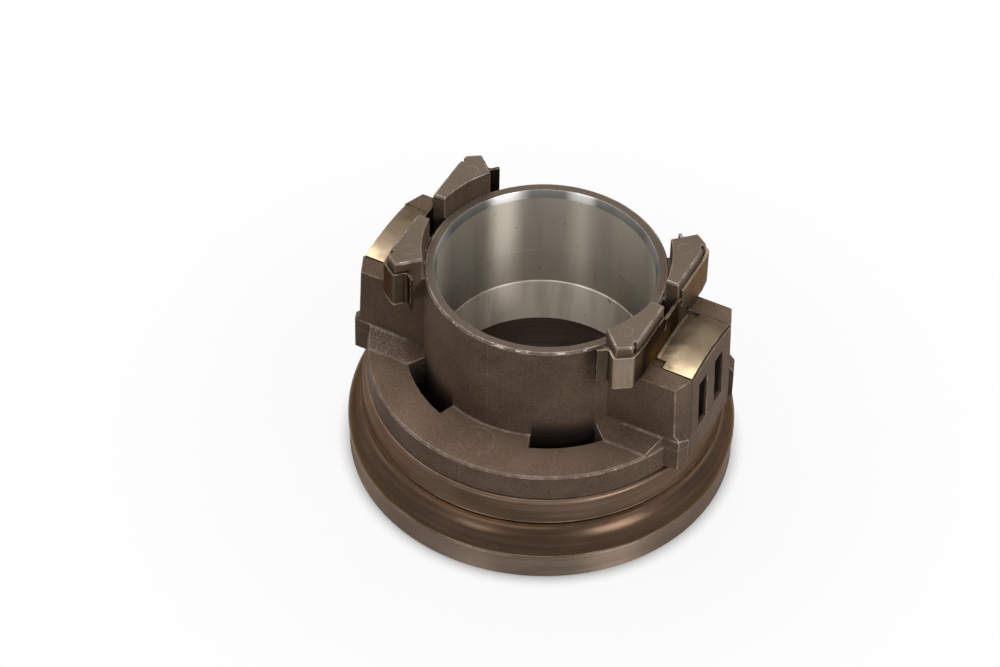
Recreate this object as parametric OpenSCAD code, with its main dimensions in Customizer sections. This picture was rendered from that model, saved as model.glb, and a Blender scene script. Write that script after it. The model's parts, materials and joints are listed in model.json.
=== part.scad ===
// Clutch release bearing of a truck gearbox, in millimetres.
// A cast guide sleeve carries a ball bearing that can shift sideways to centre itself.
// Z is the bearing axis and z = 0 is the thrust face that meets the clutch spring.
// +X runs through the middle of the right fork lug.

/* [Guide sleeve] */
// Radius of the bore that slides on the guide tube
guide_r = 30; // [26:0.5:32]
// Length of the guide bore, lead-in included
guide_len = 16; // [12:0.5:22]
// How much wider the bore is above the guide length
bore_relief = 0.5; // [0.4:0.1:0.8]
// Wall of the tube above the flange
tube_wall = 3.65; // [3.4:0.05:5]
// Height of the tube above the flange
tube_h = 32.3; // [26:0.1:40]
// Depth of the bright lead-in at the rim
rim_lead_h = 2.5; // [1:0.1:4]
// Width of the bright lead-in at the rim
rim_lead_w = 0.85; // [0.5:0.05:1.6]
// Wall of the tail below the flange
tail_wall = 3; // [2.4:0.1:3.4]
// Radius of the flange
flange_r = 50.25; // [49:0.25:51.5]
// Thickness of the flange
flange_t = 8.6; // [6:0.1:11]
// Outer radius of the windows in the flange
window_r = 39; // [37.5:0.1:41]
// Half angle of the bridge between two windows
bridge_half_angle = 20.7; // [12:0.1:28]
// Angle from the bridge middle to the far end of a window
window_end_angle = 52; // [40:0.5:54]

/* [Fork lugs] */
// Half width of a lug
lug_half_w = 18.3; // [16:0.1:20]
// Distance of a lug's outer face from the axis, at its top
lug_reach = 51.5; // [48:0.1:53]
// Height of a lug above the flange
lug_h = 23.1; // [20:0.1:28]
// How much further out the lug's outer face is at its foot
lug_draft = 0.8; // [0:0.1:1.2]
// Half width of the flat outer face between the corner facets
lug_face_half_w = 12.3; // [11:0.1:14]
// How far the corner facets fall back
lug_facet = 2.5; // [1:0.1:4]
// Gap between the overhanging lug foot and the cap
lug_foot_gap = 1.2; // [0.8:0.1:3]
// Length of the ramp in front of a lug
ramp_run = 5.9; // [3:0.1:7]
// Height of the ramp where it meets the lug
ramp_rise = 3.5; // [1.5:0.1:6]
// Width of one pocket in the outer face
pocket_w = 5.2; // [3:0.1:6]
// Width of the rib between the two pockets
pocket_rib = 5; // [3:0.1:8]
// Height of a pocket
pocket_h = 16.4; // [10:0.2:17.4]
// Depth of a pocket
pocket_depth = 9; // [4:0.5:11]
// Height of the pocket floor above the flange
pocket_floor = 1; // [0.5:0.1:2]
// How far the foot pads stand out from the corner facets
pad_out = 1.4; // [0.6:0.1:2.5]
// Height of the foot pads' tops above the flange
pad_h = 2.4; // [1:0.1:5]
// Width of the foot pads
pad_w = 3.6; // [2:0.1:5]

/* [Claws] */
// Height of the claws above the lug
claw_h = 15.9; // [13:0.1:18]
// Step from the rim out to the claws' inner wall
claw_step = 0.6; // [0.3:0.1:1]
// Distance of the claws' flat outer wall from the axis
claw_reach = 38.2; // [37.4:0.1:39.5]
// Half width of the gap between the two claws of a lug
claw_gap_half = 4.4; // [3:0.1:6]
// How far a claw tip stands past the side of its lug
claw_tip_out = 7.5; // [5:0.1:9]
// How far a claw tip lies inside the claws' outer wall
claw_tip_in = 4.2; // [3:0.1:5]
// Length of the nose facet beside the tip
claw_nose_len = 2.5; // [1.5:0.1:3.5]
// How far the nose facet ends inside the outer wall
claw_nose_in = 0.5; // [0.2:0.1:1]
// Length of the cheek facet between nose and outer wall
claw_cheek_len = 3.8; // [2:0.1:5]
// Width of the throat facet between tip and tube
claw_throat_w = 5.7; // [5:0.1:6.5]
// Length of the throat facet between tip and tube
claw_throat_len = 5.5; // [4.5:0.1:6.5]
// Height of the overhanging claw underside above the lug
claw_lift = 1.4; // [0.6:0.1:3]
// Width of the bevel round the claw tops
claw_bevel = 0.4; // [0.2:0.1:1]
// Width of the upright groove in a claw's cheek
claw_nick_w = 1.3; // [0.8:0.1:2]
// Depth of the upright groove in a claw's cheek
claw_nick_depth = 0.9; // [0.4:0.1:1.5]

/* [Fork clips] */
// Sheet thickness of a clip
clip_t = 0.9; // [0.6:0.05:1.2]
// Gap between a clip and the casting
clip_gap = 0.1; // [0.05:0.05:0.2]
// Height of the straps round the claws
strap_h = 11.6; // [8:0.1:13]
// Length of the outward tab at a strap's end
tab_len = 3.2; // [2:0.1:4]
// Distance of that tab from the inner end of the throat facet
tab_place = 3.6; // [2.5:0.1:5]
// Half width of the wear plate
plate_half_w = 12; // [10.5:0.1:12.2]
// Rise of the convex wear plate from its ends to its middle
plate_crown = 1.2; // [0.6:0.1:1.8]
// Inner radius of the bend between plate and wall
clip_bend_r = 0.8; // [0.4:0.1:1.4]
// Length of the relief notch at the ends of the bend
clip_notch = 2; // [1:0.1:3]
// Half width of the bend
clip_bend_half_w = 9.5; // [8:0.1:10.2]
// Width of the slits that part the wall's middle tongue from the straps
clip_slit_w = 1; // [0.6:0.1:1.4]
// Depth of those slits
clip_slit_depth = 6; // [3:0.1:7.5]
// How much lower the tongue stands than the straps
tongue_drop = 2; // [0.5:0.1:2.8]

/* [Ball bearing] */
// Ball diameter
ball_d = 9.525; // [8.5:0.025:9.6]
// Number of balls
ball_count = 24; // [18:1:26]
// Distance from the thrust ring's edge in to the circle of ball centres
race_inset = 7.7; // [7.2:0.1:8.1]
// Height of the ball centres above the thrust face
ball_z = 11.5; // [11:0.1:12]
// Gap between a ball and its races
race_gap = 0.19; // [0.1:0.01:0.25]
// Gap between a ball and its cage pocket
pocket_gap = 0.2; // [0.1:0.02:0.3]
// Half thickness of the cage band
cage_half_t = 1.2; // [0.8:0.05:1.3]
// Width of the closed cage rim beside the pockets
cage_rim = 1.6; // [1:0.1:1.8]
// Reach of the cage fingers past the ball centres
cage_finger = 3.2; // [2:0.1:3.6]

/* [Thrust ring] */
// Outer radius of the thrust ring
thrust_r = 55.5; // [55.2:0.1:57]
// Height of the outer rim of the thrust ring
thrust_rim_h = 8.4; // [7.9:0.1:8.6]
// Height of the inner shoulder of the thrust ring
thrust_shoulder_h = 13.4; // [12.6:0.1:13.7]
// Radius of the hole in the thrust ring
thrust_bore_r = 36.8; // [35.8:0.1:39]
// Depth of the groove for the outer seal's lip
thrust_groove = 1.1; // [0.8:0.1:1.3]
// Edge chamfer of the thrust ring
thrust_chamfer = 0.6; // [0.2:0.1:1]

/* [Outer ring and seals] */
// Wall of the outer ring over the ball race
shell_t = 3.1; // [2.8:0.05:3.4]
// How far the bulge is centred below the balls
bulge_drop = 1; // [0.6:0.1:1.4]
// Gap between the outer ring's skirt and the thrust ring
skirt_gap = 0.5; // [0.3:0.05:0.8]
// Wall of the outer ring's skirt around the seal
skirt_wall = 1.95; // [1.4:0.05:2.2]
// Wall of the outer ring's neck inside the cap
neck_wall = 1.7; // [1.2:0.05:2]
// Depth of the outer seal's seat below the ball centres
seal_drop = 0.86; // [0.7:0.02:1.2]
// Seal gap over the thrust ring
lip_gap = 0.35; // [0.2:0.05:0.5]
// Thickness of the inner seal's web and lip
inner_seal_t = 1.1; // [0.8:0.1:1.3]

/* [Cap and centring spring] */
// How far the cap's wall lies inside the outer ring's bulge
cap_inset = 4.25; // [3.65:0.05:4.85]
// Sheet thickness of the cap
cap_t = 1.5; // [1.2:0.1:1.8]
// Height of the cap's top above the thrust face
cap_top_z = 26.9; // [26.4:0.1:28]
// Radius of the cap's rounded top edge
cap_round = 1.8; // [1.6:0.1:2.2]
// Sideways travel of the bearing each way from centre
float_travel = 2; // [1:0.1:2.2]
// Room left at the end of that travel
float_room = 0.6; // [0.4:0.1:1]
// Gap between faces that slide on each other
slide_gap = 0.05; // [0.02:0.01:0.1]
// Thickness of the disc spring
spring_t = 1.2; // [0.8:0.1:1.4]
// Room round the disc spring's edge at the end of its travel
spring_room = 0.85; // [0.4:0.05:2.5]
// Rise of the disc spring from its hole to its edge
spring_rise = 2.3; // [1.8:0.1:2.8]
// Thickness of the support washer
washer_t = 1.5; // [1.2:0.1:2]
// Width of the support washer
washer_w = 6.4; // [5:0.1:7]
// Thickness of the snap ring
snap_t = 1.5; // [1.2:0.1:1.7]
// Width of the snap ring
snap_w = 3; // [2.4:0.1:3.4]
// Depth of the snap ring's groove
groove_depth = 1.2; // [0.8:0.1:1.4]
// Length of the tail below the snap ring
tail_lip = 1.9; // [1.4:0.1:2.4]

/* [Hidden] */
$fn = 96;
// Overlap that lets a cutting solid pass through a face
cut = 1;
// Break of sharp edges
edge = 0.5;

// Stack of heights, from the cap to the top of the claws
flange_z = cap_top_z + slide_gap;
flange_top = flange_z + flange_t;
rim_z = flange_top + tube_h;
lug_z = flange_top + lug_h;
lug_foot = cap_top_z + lug_foot_gap;
claw_z = lug_z + claw_h;
strap_z = lug_z + claw_lift;

// Sleeve radii
relief_r = guide_r + bore_relief;
tube_r = relief_r + tube_wall;
tail_r = guide_r + tail_wall;
lug_face_out = lug_reach + lug_draft;

// Bearing radii and heights
pitch_r = thrust_r - race_inset;
ball_r = ball_d / 2;
race_r = ball_r + race_gap;
pocket_r = ball_r + pocket_gap;
bulge_r = race_r + shell_t;
shell_r = pitch_r + bulge_r;
skirt_z = thrust_rim_h + skirt_gap;
seal_seat_r = shell_r - skirt_wall;
seal_top = ball_z - seal_drop;
groove_floor = thrust_rim_h - thrust_groove;
rim_in_r = seal_seat_r - skirt_gap;

// Cap and centring spring, from the cap's top downwards
cap_r = shell_r - cap_inset;
cap_under = cap_top_z - cap_t;
cap_in_r = cap_r - cap_t;
neck_r = cap_in_r - slide_gap;
neck_in_r = neck_r - neck_wall;
diagonal_travel = sqrt(2) * float_travel;
cap_bore_r = tail_r + diagonal_travel + 2 * float_room;
spring_in_r = tail_r + float_travel + float_room;
spring_out_r = neck_in_r - float_travel - spring_room;
spring_top = cap_under - slide_gap;
spring_foot = spring_top - spring_rise - spring_t;
washer_z = spring_foot - slide_gap - washer_t;
snap_z = washer_z - slide_gap - snap_t;
groove_r = tail_r - groove_depth;
tail_z = snap_z - tail_lip;
guide_top = tail_z + guide_len;

// Cage: a cone through the ball centres, square to the contact line
contact_angle = 45;
cage_back = pocket_r + cage_rim;
cage_top = ball_z + (cage_back + cage_half_t) * sin(contact_angle);

// Inner seal, between the cage and the snap ring
inner_web_z = cage_top + lip_gap;
inner_lip_r = tail_r + diagonal_travel + 4 * float_room + inner_seal_t;

// Wear plate: a slice of a drum whose axis runs along X
drum_r = (plate_half_w * plate_half_w + plate_crown * plate_crown) / (2 * plate_crown);
plate_top = lug_z + edge / 4 + plate_crown;
drum_z = plate_top - drum_r;
plate_under_r = drum_r - clip_t;
seat_r = plate_under_r - clip_gap;
clip_wall_x = claw_reach + clip_gap;
clip_wall_out = clip_wall_x + clip_t;
bend_x = clip_wall_out + clip_bend_r;
plate_end = lug_reach - edge;
recess_half_w = plate_half_w + 2 * clip_gap;

// Plan of a claw's outside, from its inner end round the tip to the flat outer wall.
// The tip follows the lug's side, and the facets beside it follow the tip and the outer wall.
claw_tip = [claw_reach - claw_tip_in, -lug_half_w - claw_tip_out];
claw_inner = claw_tip + [-claw_throat_w, claw_throat_len];
claw_corner = [claw_reach - claw_nose_in, claw_tip[1] + claw_nose_len];
claw_side = [claw_reach, claw_corner[1] + claw_cheek_len];
claw_nick = (claw_corner + claw_side) / 2;

// Strap: its end stands off the claw, near the middle of the inner facet
facet_dir = unit(claw_tip - claw_inner);
strap_root = claw_inner + tab_place * facet_dir;
strap_end = strap_root + (tab_len + clip_t) * right_of(facet_dir);
strap_front = [strap_end, strap_root, claw_tip, claw_corner, claw_side];
strap_back = [for (i = [len(strap_front) - 1 : -1 : 0]) [strap_front[i][0], -strap_front[i][1]]];
strap_path = concat(strap_front, strap_back);

function ball_name(i) = str("ball_", i < 10 ? "0" : "", i);
function unit(v) = v / norm(v);
function right_of(v) = [v[1], -v[0]];
function step_dir(p, i) = unit(p[i + 1] - p[i]);

// Where the line through p along u meets the line through q along v
function line_cross(p, u, q, v) = p + u * cross(q - p, v) / cross(u, v);

// A path moved sideways by d to its right, with sharp corners
function shift_path(p, d) = [
    for (i = [0 : len(p) - 1])
        let (a = step_dir(p, max(i - 1, 0)), b = step_dir(p, min(i, len(p) - 2)))
        norm(a - b) < 0.001
            ? p[i] + d * right_of(a)
            : line_cross(p[i] + d * right_of(a), a, p[i] + d * right_of(b), b)
];

// Points of an arc of radius r that rounds the corner at b between a and c
function corner_arc(a, b, c, r) =
    let (
        u = unit(a - b),
        v = unit(c - b),
        half = acos(u * v) / 2,
        start = b + u * r / tan(half),
        centre = b + unit(u + v) * r / sin(half),
        spoke = start - centre,
        sweep = sign(cross(u, v)) * (2 * half - 180)
    )
    [for (k = [0 : 4]) let (w = sweep * k / 4)
        centre + [spoke[0] * cos(w) - spoke[1] * sin(w), spoke[0] * sin(w) + spoke[1] * cos(w)]];

// A path with its corners rounded to radius r
function round_path(p, r) = concat(
    [p[0]],
    [for (i = [1 : len(p) - 2]) each corner_arc(p[i - 1], p[i], p[i + 1], r)],
    [p[len(p) - 1]]
);

// The flat outline of a bent strip that lies from d to d + t beside a path, with rounded outer bends
module strip(path, d, t) {
    near = shift_path(path, d);
    far = round_path(shift_path(path, d + t), t);
    polygon(concat(near, [for (i = [len(far) - 1 : -1 : 0]) far[i]]));
}

// A section swept about the wear plate's drum axis, over half_w to each side
module drum_sweep(half_w) {
    a = asin(half_w / drum_r);
    translate([0, 0, drum_z])
        rotate([0, 90, 0])
            rotate([0, 0, 180 - a])
                rotate_extrude(angle = 2 * a, $fn = 180)
                    children();
}

// A cylinder about the wear plate's drum axis, from x0 to x1
module drum(r, x0, x1) {
    translate([x0, 0, drum_z])
        rotate([0, 90, 0])
            cylinder(r = r, h = x1 - x0, $fn = 180);
}

// Outside of the sleeve's tube and of its tail with the snap ring's groove
module sleeve_tube() {
    rotate_extrude()
        polygon([
            [0, tail_z], [tail_r - edge, tail_z], [tail_r, tail_z + edge],
            [tail_r, snap_z - slide_gap], [groove_r, snap_z - slide_gap],
            [groove_r, washer_z], [tail_r, washer_z], [tail_r, flange_z],
            [tube_r, flange_z], [tube_r, rim_z - edge], [tube_r - edge, rim_z], [0, rim_z]
        ]);
}

// Flange with the ramps beside the lugs and the windows next to the tube
module sleeve_flange() {
    difference() {
        union() {
            rotate_extrude($fn = 180)
                polygon([
                    [0, flange_z], [flange_r - edge / 2, flange_z], [flange_r, flange_z + edge / 2],
                    [flange_r, flange_top - edge], [flange_r - edge, flange_top], [0, flange_top]
                ]);
            lug_ramps();
            mirror([1, 0, 0])
                lug_ramps();
        }
        flange_windows();
    }
}

// Everything that is bored out of the sleeve
module sleeve_bore() {
    lead = 2 * edge;
    rotate_extrude()
        polygon([
            [0, tail_z - cut], [guide_r + lead + cut, tail_z - cut], [guide_r + lead, tail_z],
            [guide_r, tail_z + lead], [guide_r, guide_top], [relief_r, guide_top],
            [relief_r, rim_z - rim_lead_h], [relief_r + rim_lead_w, rim_z],
            [relief_r + rim_lead_w, claw_z + cut], [0, claw_z + cut]
        ]);
}

// The windows of the flange, two in front and two behind
module flange_windows() {
    span = window_end_angle - bridge_half_angle;
    for (side = [-90, 90], way = [0, 1])
        rotate([0, 0, side + (way == 0 ? bridge_half_angle : -window_end_angle)])
            rotate_extrude(angle = span)
                translate([guide_r, flange_z - cut])
                    square([window_r - guide_r, flange_t + ramp_rise + 2 * cut]);
}

// Plan of a lug whose outer face is at x = out, with facets at its two corners
module lug_plan(out) {
    inner_x = sqrt(pow(tube_r, 2) - pow(lug_half_w, 2)) - tube_wall / 2;
    polygon([
        [inner_x, -lug_half_w], [out - lug_facet, -lug_half_w], [out, -lug_face_half_w],
        [out, lug_face_half_w], [out - lug_facet, lug_half_w], [inner_x, lug_half_w]
    ]);
}

// The solid block of a lug, upright beside the flange and with draft above it
module lug_block() {
    hull() {
        translate([0, 0, lug_foot])
            linear_extrude(flange_top - lug_foot)
                lug_plan(lug_face_out);
        translate([0, 0, lug_foot])
            linear_extrude(lug_z - lug_foot)
                lug_plan(lug_reach);
    }
}

// Ramps that lead from the flange up to the two sides of a lug
module lug_ramps() {
    intersection() {
        rotate([90, 0, 90])
            linear_extrude(flange_r)
                for (side = [-1, 1])
                    polygon([
                        [side * (lug_half_w + ramp_run), flange_top],
                        [side * lug_half_w, flange_top + ramp_rise],
                        [side * (lug_half_w - cut), flange_top + ramp_rise],
                        [side * (lug_half_w - cut), flange_top - cut],
                        [side * (lug_half_w + ramp_run), flange_top - cut]
                    ]);
        difference() {
            cylinder(r = flange_r - edge, h = lug_z, $fn = 180);
            translate([0, 0, -cut])
                cylinder(r = tube_r - cut, h = lug_z + 2 * cut);
        }
    }
}

// Foot pads that stand out from the corner facets, with tops that slope at 45 degrees
module lug_pads() {
    corner_x = lug_face_out - lug_facet;
    out_x = corner_x + pad_out;
    facet_slope = lug_facet / (lug_half_w - lug_face_half_w);
    reach_x = out_x + pad_w * facet_slope;
    back_x = corner_x - cut;
    pad_top = flange_top + pad_h;
    for (side = [-1, 1])
        intersection() {
            translate([0, 0, lug_foot])
                linear_extrude(lug_z - lug_foot)
                    polygon([
                        [back_x, side * lug_half_w], [out_x, side * lug_half_w],
                        [reach_x, side * (lug_half_w - pad_w)], [back_x, side * (lug_half_w - pad_w)]
                    ]);
            rotate([90, 0, 0])
                linear_extrude(4 * lug_half_w, center = true)
                    polygon([
                        [back_x, lug_foot], [reach_x, lug_foot], [reach_x, pad_top],
                        [back_x, pad_top + reach_x - back_x]
                    ]);
        }
}

// The two pockets in a lug's outer face
module lug_pockets() {
    for (side = [-1, 1])
        translate([
            lug_reach - pocket_depth,
            side * (pocket_rib + pocket_w) / 2 - pocket_w / 2,
            flange_top + pocket_floor
        ])
            cube([pocket_depth + lug_draft + cut, pocket_w, pocket_h]);
}

// Seat of the wear plate: a recess in the lug's top with a crowned floor
module plate_seat() {
    difference() {
        translate([claw_reach, -recess_half_w, lug_z - 2 * plate_crown])
            cube([lug_face_out, 2 * recess_half_w, 4 * plate_crown]);
        drum(seat_r, claw_reach - cut, 2 * lug_face_out);
    }
}

// The crowned middle of a lug's top, under the wear plate
module plate_crown_block() {
    intersection() {
        translate([claw_reach - cut, -recess_half_w, flange_top])
            cube([lug_reach - claw_reach + cut, 2 * recess_half_w, lug_h + 2 * plate_crown]);
        drum(seat_r, claw_reach - cut, lug_reach);
    }
}

// Plan of the front claw of the right lug, drawn back into the tube wall
module claw_plan(inset) {
    back_y = -claw_gap_half - inset;
    into_tube = claw_inner - tube_wall * facet_dir;
    outside = shift_path([into_tube, claw_tip, claw_corner, claw_side, [claw_reach, back_y]], -inset);
    polygon(concat(outside, [[relief_r, back_y]]));
}

// One claw: it stands on the lug and the tube, and its tip overhangs the lug's side
module claw() {
    difference() {
        union() {
            hull() {
                translate([0, 0, strap_z])
                    linear_extrude(claw_h - claw_lift - claw_bevel)
                        claw_plan(0);
                translate([0, 0, strap_z])
                    linear_extrude(claw_h - claw_lift)
                        claw_plan(claw_bevel);
            }
            intersection() {
                translate([0, 0, lug_z - cut])
                    linear_extrude(claw_lift + 2 * cut)
                        claw_plan(0);
                translate([0, -lug_half_w, 0])
                    cube([2 * lug_half_w + claw_reach, lug_half_w, claw_z]);
            }
        }
        translate([0, 0, rim_z - edge])
            cylinder(r = tube_r + claw_step, h = claw_h + tube_h, $fn = 180);
        translate([claw_nick[0] - claw_nick_depth, claw_nick[1] - claw_nick_w / 2, strap_z - cut])
            cube([claw_reach, claw_nick_w, claw_h]);
    }
}

// A lug with its pads and pair of claws, on the +X side
module fork_lug() {
    difference() {
        union() {
            difference() {
                union() {
                    lug_block();
                    lug_pads();
                }
                plate_seat();
            }
            plate_crown_block();
        }
        lug_pockets();
    }
    claw();
    mirror([0, 1, 0])
        claw();
}

module sleeve() {
    color([0.42, 0.38, 0.34])
        difference() {
            union() {
                sleeve_tube();
                sleeve_flange();
                fork_lug();
                mirror([1, 0, 0])
                    fork_lug();
            }
            sleeve_bore();
        }
}

// Section of a clip: the foot of the wall, the bend and the wear plate
module clip_section() {
    translate([drum_r + clip_bend_r, clip_wall_x])
        square([strap_h / 2, clip_t]);
    intersection() {
        translate([drum_r + clip_bend_r, bend_x])
            difference() {
                circle(r = clip_bend_r + clip_t);
                circle(r = clip_bend_r);
            }
        translate([plate_under_r, clip_wall_x])
            square(clip_bend_r + clip_t);
    }
    translate([plate_under_r, bend_x])
        square([clip_t, plate_end - bend_x]);
}

// Relief notches at the two ends of a clip's bend
module clip_notches() {
    for (side = [-1, 1])
        translate([clip_wall_x - cut, side * (clip_bend_half_w + plate_half_w) - plate_half_w, 0])
            cube([bend_x + clip_notch - clip_wall_x + cut, 2 * plate_half_w, claw_z]);
}

// Wall and straps of a clip, cut back beside the bend, with a lower tongue between two slits
module clip_straps() {
    relief_half_w = clip_bend_half_w + clip_t;
    relief_h = plate_crown + clip_bend_r;
    tongue_half_w = claw_gap_half + clip_t - clip_slit_w / 2;
    strap_top = strap_z + strap_h;
    difference() {
        translate([0, 0, strap_z])
            linear_extrude(strap_h)
                strip(strap_path, clip_gap, clip_t);
        translate([clip_wall_x - cut, -relief_half_w, strap_z - cut])
            cube([clip_t + 2 * cut, 2 * relief_half_w, relief_h + cut]);
        translate([clip_wall_x - cut, -tongue_half_w, strap_top - tongue_drop])
            cube([clip_t + 2 * cut, 2 * tongue_half_w, tongue_drop + cut]);
        for (side = [-1, 1])
            translate([
                clip_wall_x - cut,
                side * (tongue_half_w + clip_slit_w / 2) - clip_slit_w / 2,
                strap_top - clip_slit_depth
            ])
                cube([clip_t + 2 * cut, clip_slit_w, clip_slit_depth + cut]);
    }
}

// One spring clip: straps, wall and wear plate bent from one sheet, on the +X side
module fork_clip() {
    color([0.72, 0.62, 0.42]) {
        clip_straps();
        difference() {
            drum_sweep(plate_half_w)
                clip_section();
            clip_notches();
        }
    }
}

module fork_clip_right() {
    fork_clip();
}

module fork_clip_left() {
    mirror([1, 0, 0])
        fork_clip();
}

// Flat ring that the disc spring stands on
module support_washer() {
    color([0.55, 0.54, 0.52])
        rotate_extrude()
            translate([tail_r + slide_gap, washer_z])
                square([washer_w, washer_t]);
}

// External snap ring with two plier lugs beside its gap
module snap_ring() {
    gap_angle = 14;
    lug_r = 2.2;
    hole_r = 1;
    ring_in = groove_r + slide_gap;
    lug_pos = ring_in + snap_w - lug_r / 4;
    color([0.35, 0.34, 0.33])
        difference() {
            union() {
                rotate([0, 0, -90 + gap_angle / 2])
                    rotate_extrude(angle = 360 - gap_angle)
                        translate([ring_in, snap_z])
                            square([snap_w, snap_t]);
                for (side = [-1, 1])
                    rotate([0, 0, -90 + side * gap_angle])
                        translate([lug_pos, 0, snap_z])
                            cylinder(r = lug_r, h = snap_t);
            }
            for (side = [-1, 1])
                rotate([0, 0, -90 + side * gap_angle])
                    translate([lug_pos, 0, snap_z - cut])
                        cylinder(r = hole_r, h = snap_t + 2 * cut);
        }
}

// Disc spring: a shallow cone that presses the cap up against the flange
module disc_spring() {
    color([0.4, 0.4, 0.41])
        rotate_extrude()
            polygon([
                [spring_in_r, spring_foot], [spring_out_r, spring_foot + spring_rise],
                [spring_out_r, spring_top], [spring_in_r, spring_top - spring_rise]
            ]);
}

// Retaining cap: sheet ring with an inward flange and a rounded top edge
module retaining_cap() {
    foot = bulge_height(neck_r) + slide_gap;
    color([0.36, 0.28, 0.2])
        rotate_extrude($fn = 180)
            difference() {
                union() {
                    translate([cap_bore_r, foot])
                        square([cap_r - cap_round - cap_bore_r, cap_top_z - foot]);
                    translate([cap_bore_r, foot])
                        square([cap_r - cap_bore_r, cap_top_z - cap_round - foot]);
                    translate([cap_r - cap_round, cap_top_z - cap_round])
                        circle(r = cap_round);
                }
                translate([cap_bore_r - cut, foot - cut])
                    square([cap_in_r - cap_bore_r + cut, cap_under - foot + cut]);
                translate([cap_r, foot])
                    rotate(45)
                        square(edge, center = true);
            }
}

// Height of the outer ring's bulge at radius r
function bulge_height(r) = ball_z - bulge_drop + sqrt(pow(bulge_r, 2) - pow(r - pitch_r, 2));

// Outer ring: deep drawn shell with the upper ball race and a neck inside the cap
module outer_ring() {
    bulge_z = ball_z - bulge_drop;
    color([0.4, 0.33, 0.25])
        rotate_extrude($fn = 180)
            difference() {
                union() {
                    translate([neck_in_r, ball_z + race_r])
                        square([neck_wall, cap_under - slide_gap - ball_z - race_r]);
                    intersection() {
                        translate([pitch_r, bulge_z])
                            circle(r = bulge_r, $fn = 128);
                        translate([neck_in_r, skirt_z])
                            square([shell_r, bulge_r + bulge_z - skirt_z]);
                    }
                    translate([seal_seat_r, skirt_z])
                        square([skirt_wall, bulge_z - skirt_z]);
                }
                translate([pitch_r, ball_z])
                    circle(r = race_r, $fn = 128);
                translate([0, skirt_z - cut])
                    square([seal_seat_r, seal_top - skirt_z + cut]);
            }
}

// Inner seal: a web from the neck and a lip down to the thrust ring's shoulder
module inner_seal() {
    color([0.08, 0.08, 0.08])
        rotate_extrude() {
            translate([inner_lip_r - inner_seal_t, inner_web_z])
                square([neck_in_r - slide_gap - inner_lip_r + inner_seal_t, inner_seal_t]);
            translate([inner_lip_r - inner_seal_t, thrust_shoulder_h + lip_gap])
                square([inner_seal_t, inner_web_z + inner_seal_t - thrust_shoulder_h - lip_gap]);
        }
}

// Outer seal: held in the skirt, its lip dips into the thrust ring's groove
module outer_seal() {
    body_in_r = pitch_r + pocket_r + pocket_gap;
    lip_z = groove_floor + lip_gap;
    color([0.08, 0.08, 0.08])
        rotate_extrude()
            polygon([
                [seal_seat_r - slide_gap, seal_top - slide_gap], [body_in_r, seal_top - slide_gap],
                [body_in_r - 0.9, skirt_z - skirt_gap], [body_in_r - 1.7, lip_z],
                [rim_in_r - 2 * skirt_gap, lip_z], [rim_in_r - skirt_gap, skirt_z],
                [seal_seat_r - slide_gap, skirt_z]
            ]);
}

// Cage: a conical crown whose pockets open towards the outer seal
module ball_cage() {
    along = [cos(contact_angle), -sin(contact_angle)];
    across = [sin(contact_angle), cos(contact_angle)] * cage_half_t;
    centre = [pitch_r, ball_z];
    color([0.16, 0.14, 0.12])
        difference() {
            rotate_extrude()
                polygon([
                    centre - cage_back * along - across, centre + cage_finger * along - across,
                    centre + cage_finger * along + across, centre - cage_back * along + across
                ]);
            for (i = [1 : ball_count])
                at_ball(i)
                    sphere(r = pocket_r);
        }
}

// Thrust ring: rotating inner ring with the lower ball race and a groove for the outer seal
module thrust_ring() {
    c = thrust_chamfer;
    color([0.46, 0.42, 0.37])
        rotate_extrude($fn = 180)
            difference() {
                polygon([
                    [thrust_bore_r, c], [thrust_bore_r + c, 0], [thrust_r - c, 0], [thrust_r, c],
                    [thrust_r, thrust_rim_h - c / 2], [thrust_r - c / 2, thrust_rim_h],
                    [rim_in_r, thrust_rim_h], [rim_in_r, groove_floor], [pitch_r, groove_floor],
                    [pitch_r, thrust_shoulder_h], [thrust_bore_r + c, thrust_shoulder_h],
                    [thrust_bore_r, thrust_shoulder_h - c]
                ]);
                translate([pitch_r, ball_z])
                    circle(r = race_r, $fn = 128);
            }
}

// Place of ball number i on the pitch circle
module at_ball(i) {
    rotate([0, 0, (i - 1) * 360 / ball_count])
        translate([pitch_r, 0, ball_z])
            children();
}

module ball(i) {
    color([0.75, 0.75, 0.76])
        at_ball(i)
            sphere(r = ball_r);
}

sleeve();
fork_clip_right();
fork_clip_left();
support_washer();
snap_ring();
disc_spring();
retaining_cap();
outer_ring();
inner_seal();
outer_seal();
ball_cage();
thrust_ring();
for (i = [1 : ball_count])
    ball(i);
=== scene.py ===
import json
import math

import bmesh
import bpy
from bpy.props import FloatProperty, FloatVectorProperty, PointerProperty
from bpy.types import Operator, Panel, PropertyGroup
from mathutils import Matrix, Vector

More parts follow.
